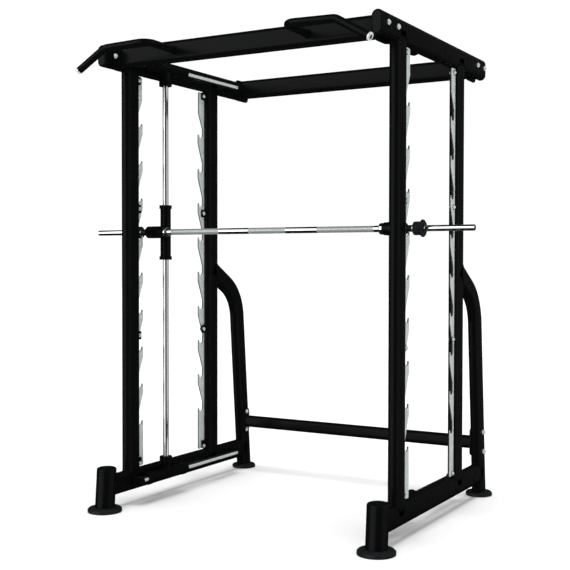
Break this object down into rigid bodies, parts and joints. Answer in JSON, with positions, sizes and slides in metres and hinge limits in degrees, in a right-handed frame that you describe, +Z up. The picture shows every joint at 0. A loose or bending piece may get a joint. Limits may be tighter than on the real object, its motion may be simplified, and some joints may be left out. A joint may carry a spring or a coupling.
{
  "type": "smith machine",
  "caption": "Gym smith machine whose bar slides up and down on vertical rods and front to back on horizontal ones, between hook racks, with pull-up grips on the front beam.",
  "frame": {"origin": "on the floor, at the middle of the bounding box: the mirror plane across, and midway between the front of the pull-up grips and the back of the rear foot discs", "axes": "+X along the bar, +Y from the front of the machine (the pull-up grips) to its back, +Z up"},
  "size_m": [1.966, 1.4224, 2.1544],
  "materials": {
    "frame_black": "satin black powder coat",
    "plastic_black": "moulded black end cap",
    "foot_rubber": "black rubber",
    "stop_rubber": "black rubber, ribbed rim",
    "chrome": "polished chrome plate",
    "rack_zinc": "bright zinc plate"
  },
  "bodies": {
    "frame": {"base_rail_left": "frame_black", "base_rail_right": "frame_black", "base_rod_left": "chrome", "base_rod_right": "chrome", "foot_disc_front_left": "foot_rubber", "foot_disc_front_right": "foot_rubber", "foot_disc_rear_left": "foot_rubber", "foot_disc_rear_right": "foot_rubber", "front_beam": "frame_black", "front_post_left": "frame_black", "front_post_right": "frame_black", "grip_cap_left": "chrome", "grip_cap_right": "chrome", "lower_beam": "frame_black", "post_cap_left": "plastic_black", "post_cap_right": "plastic_black", "pullup_grip_left": "frame_black", "pullup_grip_right": "frame_black", "rack_front_left": "rack_zinc", "rack_front_right": "rack_zinc", "rack_rear_left": "rack_zinc", "rack_rear_right": "rack_zinc", "rail_cap_front_left": "plastic_black", "rail_cap_front_right": "plastic_black", "rail_cap_rear_left": "plastic_black", "rail_cap_rear_right": "plastic_black", "rear_beam": "frame_black", "rear_leg_left": "frame_black", "rear_leg_right": "frame_black", "top_rail_left": "frame_black", "top_rail_right": "frame_black", "top_rod_left": "chrome", "top_rod_right": "chrome", "upright_front_left": "frame_black", "upright_front_right": "frame_black", "upright_rear_left": "frame_black", "upright_rear_right": "frame_black"},
    "carriage": {"tee_block_base_left": "frame_black", "tee_block_base_right": "frame_black", "tee_block_top_left": "frame_black", "tee_block_top_right": "frame_black", "vertical_rod_left": "chrome", "vertical_rod_right": "chrome"},
    "lift": {"bearing_ring_left": "chrome", "bearing_ring_right": "chrome", "slider_left": "frame_black", "slider_right": "frame_black"},
    "bar_assembly": {"bar": "chrome", "stop_disc_left": "stop_rubber", "stop_disc_right": "stop_rubber", "stop_washer_left": "stop_rubber", "stop_washer_right": "stop_rubber"}
  },
  "joints": [
    {"name": "carriage_slide", "type": "slide", "parent": "frame", "child": "carriage", "axis": [0, 1, 0], "range_m": [-0.0396, 0.4788]},
    {"name": "bar_lift", "type": "slide", "parent": "carriage", "child": "lift", "axis": [0, 0, 1], "range_m": [-0.915, 0.54]},
    {"name": "bar_spin", "type": "hinge", "parent": "lift", "child": "bar_assembly", "pos_m": [0, -0.2484, 1.3005], "axis": [1, 0, 0], "continuous": true}
  ]
}
